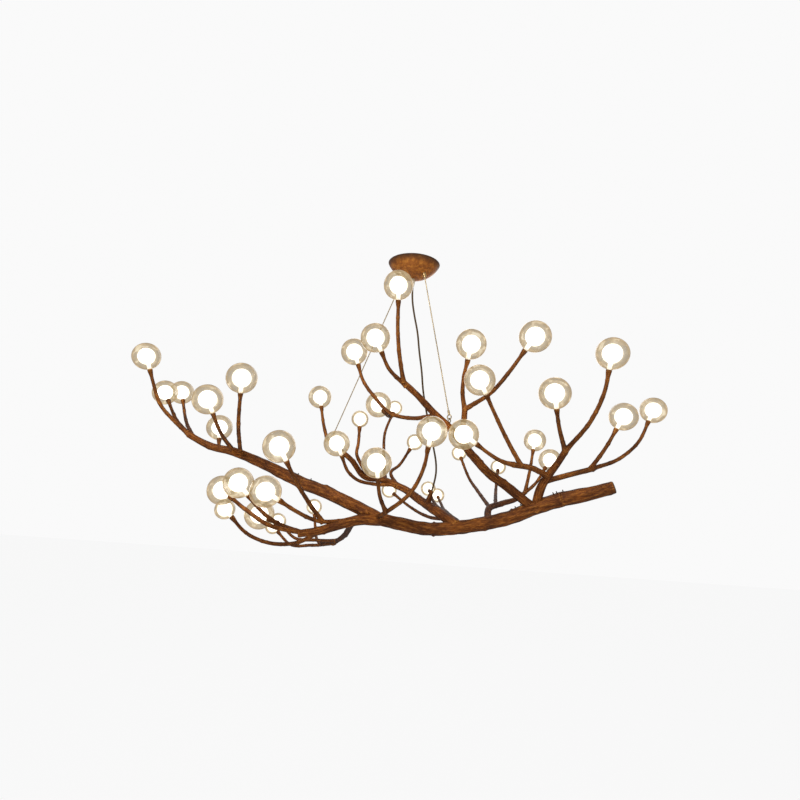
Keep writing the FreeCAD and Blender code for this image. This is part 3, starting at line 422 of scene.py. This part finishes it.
# A name, the globe's size or an arm without one, and the points from the root to the globe's centre.
TWIGS = {
    "left": [
        ("l1", "big", [(-790, 35, -718), (-850, 30, -670), (-905, 20, -615), (-940, 5, -530),
                       (-970, -10, -440)]),
        ("l2", "big", [(-800, 40, -710), (-915, 165, -635), (-995, 230, -535)]),
        ("l3", "big", [(-780, 40, -720), (-915, 260, -615), (-970, 330, -515)]),
        ("l4", "big", [(-615, 25, -767), (-635, -100, -700), (-655, -185, -610)]),
        ("l5", "big", [(-590, 25, -773), (-555, -155, -660), (-535, -235, -540)]),
        ("l6", "big", [(-675, 35, -758), (-712, 138, -748), (-730, 170, -670)]),
    ],
    "front": [
        ("f4", "big", [(-155, -85, -975), (-260, -140, -980), (-325, -195, -950), (-420, -225, -895)]),
        ("l7", "big", [(-245, -125, -985), (-295, -175, -915), (-325, -245, -855), (-375, -300, -755)]),
        ("f1", "big", [(-305, -143, -1022), (-405, -140, -990), (-460, -145, -950), (-525, -170, -875)]),
        ("f5", "big", [(-392, -138, -997), (-468, -82, -977)]),
        ("f2", "big", [(-300, -140, -1022), (-416, -185, -997), (-484, -180, -960), (-600, -94, -905)]),
        ("f3", "small", [(-235, -125, -1005), (-355, -45, -1070), (-460, -5, -1075),
                         (-545, 20, -1045), (-620, 20, -975)]),
    ],
    "trunk": [
        ("c2", "big", [(-75, -45, -965), (-40, -100, -940), (40, -150, -865), (75, -195, -780),
                       (90, -235, -670)]),
        ("c1", "big", [(-40, -100, -940), (-65, -170, -875), (-80, -205, -780)]),
    ],
    "crown": [
        ("t1", "big", [(-10, -168, -505), (-30, -195, -420), (-40, -215, -355), (-50, -245, -190)]),
        ("t2", "big", [(0, -163, -515), (-65, -185, -460), (-115, -205, -365)]),
        ("t3", "big", [(110, -134, -602), (30, -100, -614), (-45, -75, -600), (-110, -45, -540),
                     (-160, -25, -475), (-200, -20, -370)]),
        ("m4", "big", [(-40, -75, -602), (-65, 30, -590), (-100, 90, -545)]),
        ("crown_arm", "arm", [(197, -116, -682), (202, -145, -620), (200, -180, -580)]),
        ("r1", "big", [(200, -178, -585), (190, -185, -540), (185, -225, -485), (200, -260, -380)]),
        ("r3", "big", [(200, -178, -582), (275, -225, -530), (320, -290, -470), (385, -340, -365)]),
    ],
    "right": [
        ("left_arm", "arm", [(500, -125, -782), (430, -160, -760), (365, -185, -755)]),
        ("c3", "big", [(370, -183, -755), (330, -190, -748), (280, -205, -725), (195, -215, -670)]),
        ("r2", "big", [(395, -175, -757), (350, -190, -690), (295, -235, -610), (230, -275, -500)]),
        ("r4", "big", [(528, -205, -700), (485, -270, -625), (455, -320, -535)]),
        ("r5", "big", [(530, -207, -698), (585, -275, -605), (610, -320, -515), (620, -350, -405)]),
        ("right_arm", "arm", [(490, -112, -800), (590, -70, -770), (695, -20, -740)]),
        ("r6", "big", [(680, -25, -743), (730, -45, -660), (785, -60, -550)]),
        ("r7", "big", [(690, -20, -741), (820, 45, -690), (920, 90, -605), (975, 100, -490)]),
    ],
    "back": [
        ("m2", "big", [(-15, 240, -848), (-100, 220, -850), (-170, 170, -835), (-200, 145, -810),
                       (-250, 105, -705)]),
        ("m1", "big", [(-307, 252, -687), (-336, 292, -613), (-370, 345, -490)]),
        ("m3", "small", [(-118, 248, -828), (-158, 218, -775), (-178, 207, -735), (-176, 225, -690),
                         (-180, 260, -585)]),
        ("m5", "small", [(-55, 248, -835), (-75, 430, -705), (-75, 525, -595), (-40, 545, -485)]),
        ("m6", "small", [(0, 235, -855), (-35, 315, -795), (0, 370, -760), (60, 390, -655)]),
    ],
    "rear": [
        ("m7", "small", [(212, 130, -960), (135, 325, -970), (50, 490, -935), (-40, 590, -875)]),
        ("m8", "small", [(202, 306, -943), (212, 520, -935), (200, 715, -885)]),
        ("m9", "small", [(207, 222, -951), (168, 430, -918), (150, 660, -855)]),
    ],
    "far": [
        ("b1", "big", [(536, 315, -842), (575, 385, -730), (605, 435, -605)]),
        ("b2", "big", [(500, 274, -864), (600, 362, -790), (674, 430, -690)]),
        ("b3", "small", [(375, 125, -900), (430, 400, -825), (470, 565, -730)]),
        ("b4", "small", [(346, 85, -907), (335, 305, -850), (315, 475, -785), (285, 600, -675)]),
    ],
    "low": [
        ("f6", "small", [(-232, 240, -1084), (-330, 355, -1100), (-440, 415, -1100), (-515, 425, -1040)]),
        ("f7", "small", [(-244, 278, -1096), (-325, 410, -1115), (-368, 545, -1060), (-385, 575, -975)]),
        ("f8", "small", [(-250, 293, -1100), (-365, 455, -1135), (-490, 565, -1145), (-575, 605, -1080)]),
    ],
}


def reach(kind):
    """From the cup's rim to the centre of the globe."""
    return WASHER + math.sqrt(GLOBE_RADIUS[kind] ** 2 - HOLE_RADIUS**2)


lamps = {group: [] for group in TWIGS}
for number, (group, members) in enumerate(TWIGS.items()):
    grids, grains = [], []
    for order, (name, kind, points) in enumerate(members):
        chance = np.random.default_rng(1000 + 20 * number + order)
        places = place_points(points)
        if kind != "arm":
            away = places[-1] - places[-2]
            away /= np.linalg.norm(away)
            lamps[group].append((kind, places[-1].copy(), away))
            places[-1] = places[-1] - away * reach(kind)
        along, line = smooth_line(places, RING_STEP)
        length = along[-1]
        if kind == "arm":
            radius = np.full(len(along), ARM_RADIUS)
        else:
            share = np.clip((along - length + FLARE) / FLARE, 0, 1)
            radius = TWIG_ROOT + (TWIG_THIN - TWIG_ROOT) * np.clip(along / (length - FLARE), 0, 1)
            radius += (RIM_RADIUS - TWIG_THIN) * (3 * share**2 - 2 * share**3)
            node = np.arange(chance.uniform(25, 60), length - FLARE, chance.uniform(50, 90))
            radius += (NODE_SWELL * np.exp(-((along[:, None] - node) / NODE_WIDTH) ** 2)).sum(axis=1)
        radius += ROOT_SWELL * np.exp(-along / ROOT_FADE)
        calm = np.clip((length - along) / CALM_LENGTH, 0, 1)[:, None] if kind != "arm" else 1.0
        relief = lambda angle, s, r, chance=chance, calm=calm: calm * bark_relief(
            angle, s, r, chance, TWIG_RELIEF)
        points, grain = tube_grid(line, radius, along, relief, TWIG_AROUND)
        tangent = frames(line)[0]
        start = np.broadcast_to(line[:1, None], points[:1].shape)
        if kind == "arm":
            lip = [line[-1] + (points[-1:] - line[-1]) * share for share in (0.6, 0.0)]
        else:
            inner = line[-1] + (points[-1:] - line[-1]) * HOLE_RADIUS / RIM_RADIUS
            down = tangent[-1] * CUP_DEPTH
            lip = [inner, inner - down, np.broadcast_to(line[-1] - down, inner.shape)]
        grids.append(np.concatenate([start, points] + lip))
        grains.append(np.concatenate([grain[:1], grain] + [grain[-1:]] * len(lip)))
    piece = mesh_piece(group + "_twigs_bark", grids, bark, grains)
    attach(piece, "branch_frame")
    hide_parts(group + "_twigs")

# Set screws: blackened steel studs that stand in a row beside each joint, on the upper side, and press
# on the spigot inside. Each place is a limb and the distance from its root.
SCREWS = [("butt_end", 10), ("trunk", 8), ("trunk", 20), ("trunk", 135), ("trunk", 158), ("left_limb", 24),
          ("left_knuckle", 276)]
SCREW_STAND, SCREW_HIDDEN, SCREW_RADIUS, SCREW_CHAMFER = 7.0, 9.5, 2.0, 0.5
UP_AND_FORWARD = np.array([0.0, -0.35, 1.0])
studs = []
for name, distance in SCREWS:
    root, tip, points = LIMBS[name]
    along, line = smooth_line(place_points(points), RING_STEP)
    spot = int(np.argmin(abs(along - distance)))
    tangent = frames(line)[0][spot]
    out = UP_AND_FORWARD - tangent * (UP_AND_FORWARD @ tangent)
    out /= np.linalg.norm(out)
    bark_radius = (root + (tip - root) * along[spot] / along[-1]) / 2
    top = bark_radius + SCREW_STAND
    levels = np.array([SCREW_HIDDEN, SCREW_HIDDEN, top - SCREW_CHAMFER, top, top])
    widths = SCREW_RADIUS * np.array([0.0, 1.0, 1.0, 0.8, 0.0])
    turn = np.linspace(0, 2 * math.pi, 12, endpoint=False)[None, :, None]
    across = np.cross(out, tangent)
    studs.append(line[spot] + out * levels[:, None, None]
                 + widths[:, None, None] * (tangent * np.cos(turn) + across * np.sin(turn)))
# Blackened steel: dark brown-grey oxide, half matt.
black_steel = finish("blackened_steel", None, Base_Color=linear("#4a3320"), Metallic=0.5, Roughness=0.5)
screws = mesh_piece("set_screw_studs", studs, black_steel)
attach(screws, "branch_frame")
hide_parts("set_screws")

# Globes: clear balls, mouth-blown from seedy glass, so the wall wanders a little and catches the light.
# Each sits over the mouth of its cup on a soft washer.
GLOBE_WANDER, GLOBE_RINGS, GLOBE_AROUND = 0.008, 40, 56


def globe_grid(kind, centre, away, chance):
    """A ball from the edge of its hole to the top, turned to stand on its cup, and shut across the hole."""
    ball = GLOBE_RADIUS[kind]
    polar = np.linspace(math.asin(HOLE_RADIUS / ball), math.pi, GLOBE_RINGS)
    angle = np.linspace(0, 2 * math.pi, GLOBE_AROUND, endpoint=False)[None, :]
    wave = 1 + GLOBE_WANDER * np.sin(polar[:, None]) * (
        np.cos(2 * angle + chance.uniform(0, 7))
        + np.cos(3 * angle + 2 * polar[:, None] + chance.uniform(0, 7)))
    across = np.cross(away, [0.3, 0.2, 0.9])
    across /= np.linalg.norm(across)
    other = np.cross(away, across)
    flat = ball * wave * np.sin(polar)[:, None]
    rise = -ball * np.cos(polar)[:, None] * np.ones_like(flat)
    grid = (centre + across * (flat * np.cos(angle))[..., None] + other * (flat * np.sin(angle))[..., None]
            + away * rise[..., None])
    shut = np.broadcast_to(grid[:1].mean(axis=1, keepdims=True), grid[:1].shape)
    return np.concatenate([shut, grid])


def blown_glass(tree, shader):
    """Painted glow standing in for the lamp's light carried round in the wall: amber grey where it is seen
    edge on, with painted shade at the rim and painted cream highlights in streaks some 20 mm apart."""
    place = add(tree, "ShaderNodeTexCoord").outputs["Object"]
    ripple = add(tree, "ShaderNodeTexNoise",
                 {"Vector": place, "Scale": 40.0, "Detail": 1.0, "Distortion": 0.8})
    edge = add(tree, "ShaderNodeLayerWeight", {"Blend": 0.5})
    # Painted glow: the glass is given emission in amber grey, with painted cream highlights where it ripples.
    painted_glow_tint = ramp(tree, ripple.outputs["Fac"],
                [(0.34, "#94805a"), (0.5, "#b09b74"), (0.6, "#c8b089"), (0.7, "#f2e4c4")])
    # Painted shade: the glow darkens towards the rim.
    rim = ramp(tree, edge.outputs["Facing"], [(0.3, "#ffffff"), (0.78, "#e2d4bc"), (0.95, "#6e5b3a")])
    painted_glow = add(tree, "ShaderNodeMix", {SHARE: 1.0, FIRST: painted_glow_tint, SECOND: rim}, data_type="RGBA",
                 blend_type="MULTIPLY")
    tree.links.new(painted_glow.outputs[2], shader.inputs["Emission Color"])
    cover = add(tree, "ShaderNodeValToRGB", {"Fac": edge.outputs["Facing"]})
    stops = cover.color_ramp.elements
    for spot in (0.25, 0.5, 0.75):
        stops.new(spot)
    for stop, (spot, depth) in zip(stops, ((0.0, 0.06), (0.16, 0.16), (0.26, 0.6), (0.62, 0.72), (1.0, 1.0))):
        stop.position = spot
        stop.color = (depth, depth, depth, 1.0)
    patchy = add(tree, "ShaderNodeMapRange", {"Value": ripple.outputs["Fac"], "From Min": 0.35,
                                              "From Max": 0.65, "To Min": 0.85, "To Max": 1.15})
    depth = add(tree, "ShaderNodeMath", {0: cover.outputs["Color"], 1: patchy.outputs["Result"]},
                operation="MULTIPLY", use_clamp=True)
    tree.links.new(depth.outputs[0], shader.inputs["Alpha"])
    relief = add(tree, "ShaderNodeBump",
                 {"Height": ripple.outputs["Fac"], "Strength": 0.25, "Distance": 0.002})
    tree.links.new(relief.outputs["Normal"], shader.inputs["Normal"])


# Seedy soda-lime glass: see-through in the middle, with a painted amber glow at the edge and painted glints
# where it ripples.
clear_glass = finish("seedy_blown_glass", blown_glass, Base_Color=linear("#2a251c"), Roughness=0.1, IOR=1.5,
                     Emission_Strength=1.0)
for number, (group, members) in enumerate(lamps.items()):
    chance = np.random.default_rng(300 + number)
    grids = [globe_grid(kind, centre, away, chance) for kind, centre, away in members]
    piece = mesh_piece(group + "_globes_glass", grids, clear_glass)
    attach(piece, "branch_frame")
    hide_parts(group + "_globes")

# Inner balls: satin opal glass, each blown with its own neck and lit from within by a capsule lamp.


def lit_opal(tree, shader):
    """White with the lamp's light in the middle and warmer towards the edge of the ball."""
    edge = add(tree, "ShaderNodeLayerWeight", {"Blend": 0.5})
    glow = ramp(tree, edge.outputs["Facing"],
                [(0.0, "#ffffff"), (0.55, "#fffaea"), (0.8, "#ffedc6"), (1.0, "#efd49c")])
    tree.links.new(glow, shader.inputs["Emission Color"])


# Satin opal glass, lit: it shows as an even white disc with a warm edge.
opal_glass = finish("lit_opal_glass", lit_opal, Base_Color=linear("#fffaf0"), Roughness=0.4,
                    Emission_Strength=2.4)
dress("inner_diffusers", opal_glass)

# Lamp parts inside the cups: silicone washers, glazed ceramic holders, capsules and their leads.
silicone = finish("silicone_rubber_white", None, Base_Color=linear("#efe6d2"), Roughness=0.7)
ceramic = finish("glazed_ceramic", None, Base_Color=linear("#ece8df"), Roughness=0.3)
capsule_glass = finish("capsule_lamp_glass", None, Base_Color=linear("#fff6e0"), Roughness=0.1,
                       Emission_Color=linear("#fff1d6"), Emission_Strength=1.0)
insulation = finish("wire_insulation_white", None, Base_Color=linear("#e6e4de"), Roughness=0.45)
dress("globe_washers", silicone)
dress("cord_bush", silicone)
dress("lamp_holders", ceramic)
dress("led_capsules", capsule_glass)
dress("lamp_leads", insulation)
dress("limb_harness", insulation)

# Rose: a shallow spun steel dome with a rust-brown patina under lacquer, darker at its rolled rim.
# The middle hole takes the nipple, and the cable grippers' barrels come through the wall beside it.
CANOPY_RADIUS, CANOPY_DEPTH, CANOPY_WALL, CEILING_GAP, MIDDLE_HOLE = 100.0, 60.0, 1.5, 0.3, 5.0
CANOPY_RINGS, CANOPY_AROUND, RIM_ROLL = 60, 128, 0.004


def canopy_grid():
    """A dome as part of a ball: outside from the middle hole to the rim, a rolled lip, and inside back."""
    ball = (CANOPY_RADIUS**2 + CANOPY_DEPTH**2) / (2 * CANOPY_DEPTH)
    shut = math.asin(CANOPY_RADIUS / ball)
    sweep = np.linspace(math.asin(MIDDLE_HOLE / ball), shut - RIM_ROLL, CANOPY_RINGS)
    inner = ball - CANOPY_WALL
    flat = np.concatenate([ball * np.sin(sweep), inner * np.sin(sweep[::-1])])
    level = ball - CANOPY_DEPTH
    rise = np.concatenate([level - ball * np.cos(sweep), level - inner * np.cos(sweep[::-1])])
    rise = np.minimum(rise, -CEILING_GAP)
    turn = np.linspace(0, 2 * math.pi, CANOPY_AROUND, endpoint=False)[None, :]
    ring = np.stack([flat[:, None] * np.cos(turn), flat[:, None] * np.sin(turn),
                     np.broadcast_to(rise[:, None], (len(rise), CANOPY_AROUND))], axis=-1)
    return np.concatenate([ring, ring[:1]])


def patina(tree, shader):
    """Mottled rust some 20 mm across, darker near the rim, from the distance to the middle."""
    place = add(tree, "ShaderNodeTexCoord").outputs["Object"]
    blotch = add(tree, "ShaderNodeTexNoise",
                 {"Vector": place, "Scale": 45.0, "Detail": 6.0, "Roughness": 0.7})
    tone = ramp(tree, blotch.outputs["Fac"], [(0.3, "#6b3a10"), (0.5, "#b0661c"), (0.72, "#e0953a")])
    flat = add(tree, "ShaderNodeVectorMath", {0: place, 1: (1.0, 1.0, 0.0)}, operation="MULTIPLY")
    outward = add(tree, "ShaderNodeVectorMath", {0: flat.outputs[0]}, operation="LENGTH")
    shade = add(tree, "ShaderNodeMapRange",
                {"Value": outward.outputs["Value"], "From Min": 0.084, "From Max": CANOPY_RADIUS * MM})
    dark = add(tree, "ShaderNodeMix",
               {SHARE: shade.outputs["Result"], FIRST: tone, SECOND: linear("#3c2312")}, data_type="RGBA")
    tree.links.new(dark.outputs[2], shader.inputs["Base Color"])


# Rust patina on spun steel under a satin lacquer: brown with orange blotches and a soft sheen.
rust_patina = finish("rust_patina_steel", patina, Metallic=0.35, Roughness=0.48)
canopy = mesh_piece("canopy_dome", [canopy_grid()], rust_patina)
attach(canopy, "rose")
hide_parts("canopy_cover")

# Fixings: zinc-plated plate, nut, nipple, screws and eyes, nickel-plated brass grippers, a pale
# nylon cord grip, and the driver and terminals in moulded cases behind the dome.
zinc = finish("zinc_plated_steel", None, Base_Color=linear("#b8ae9c"), Metallic=0.9, Roughness=0.35)
nickel = finish("nickel_plated_brass", None, Base_Color=linear("#c9ad7c"), Metallic=0.9, Roughness=0.3)
nylon = finish("nylon_cord_grip", None, Base_Color=linear("#d8c8a4"), Roughness=0.5)
moulded = finish("moulded_case_white", None, Base_Color=linear("#e2e1dc"), Roughness=0.5)
for name in ("ceiling_plate", "lock_nut", "threaded_nipple", "spigots", "eye_bolts"):
    dress(name, zinc)
for name in ("cable_grippers", "release_left", "release_right"):
    dress(name, nickel)
for name in ("cable_tails", "cable_loops"):
    dress(name, strand_wire)
dress("cord_gland", nylon)
dress("cord_top", textile_braid)
dress("led_driver", moulded)
dress("terminal_block", moulded)

# Studio: a pale floor well below, soft lamps round the object and a white surround.
FLOOR_LEVEL, FLOOR_HALF = -2.3, 8
floor_mesh = bpy.data.meshes.new("studio_floor")
floor_corners = [(x * FLOOR_HALF, y * FLOOR_HALF, FLOOR_LEVEL)
                 for x, y in ((-1, -1), (1, -1), (1, 1), (-1, 1))]
floor_mesh.from_pydata(floor_corners, [], [(0, 1, 2, 3)])
floor = bpy.data.objects.new("studio_floor", floor_mesh)
scene.collection.objects.link(floor)


def white_to_camera(tree, shader):
    """Nearly plain white where the camera looks at the floor, which leaves only a trace of shadow."""
    paths = add(tree, "ShaderNodeLightPath")
    glow = add(tree, "ShaderNodeEmission", {"Color": linear("#ffffff"), "Strength": 0.955})
    share = add(tree, "ShaderNodeMath", {0: paths.outputs["Is Camera Ray"], 1: 0.97}, operation="MULTIPLY")
    both = add(tree, "ShaderNodeMixShader", {0: share.outputs[0], 1: shader.outputs[0], 2: glow.outputs[0]})
    tree.links.new(both.outputs[0], tree.nodes["Material Output"].inputs["Surface"])


pale_floor = finish("pale_floor", white_to_camera, Base_Color=linear("#f4f3f1"), Roughness=0.9)
floor_mesh.materials.append(pale_floor)
# Each lamp's name, place in metres, power in watts and width in metres, aimed at the branch.
LAMPS = [("key", (-1.6, -2.4, 1.6), 92.0, 1.2), ("fill", (2.6, -2.4, -0.2), 18.0, 2.4),
         ("back", (0.4, 2.8, 0.6), 26.0, 2.4)]
for name, place, power, wide in LAMPS:
    data = bpy.data.lights.new(name, "AREA")
    data.energy, data.size = power, wide
    lamp = bpy.data.objects.new(name, data)
    aim = Vector((0, 0, -0.8)) - Vector(place)
    lamp.matrix_world = Matrix.Translation(place) @ aim.to_track_quat("-Z", "Y").to_matrix().to_4x4()
    scene.collection.objects.link(lamp)
world = bpy.data.worlds.new("white_surround")
scene.world = world
world.use_nodes = True
sky = world.node_tree
# The camera and the glass see it nearly white; reflections see a third of that and it lights little.
rays = add(sky, "ShaderNodeLightPath").outputs
gloss = add(sky, "ShaderNodeMath", {0: rays["Is Glossy Ray"], 1: 0.3}, operation="MULTIPLY")
seen = add(sky, "ShaderNodeMath", {0: rays["Is Camera Ray"], 1: gloss.outputs[0]}, operation="MAXIMUM")
seen = add(sky, "ShaderNodeMath", {0: seen.outputs[0], 1: rays["Is Transmission Ray"]}, operation="MAXIMUM")
level = add(sky, "ShaderNodeMapRange", {"Value": seen.outputs[0], "To Min": 0.26, "To Max": 0.955})
background = sky.nodes["Background"]
background.inputs["Color"].default_value = (1, 1, 1, 1)
sky.links.new(level.outputs["Result"], background.inputs["Strength"])
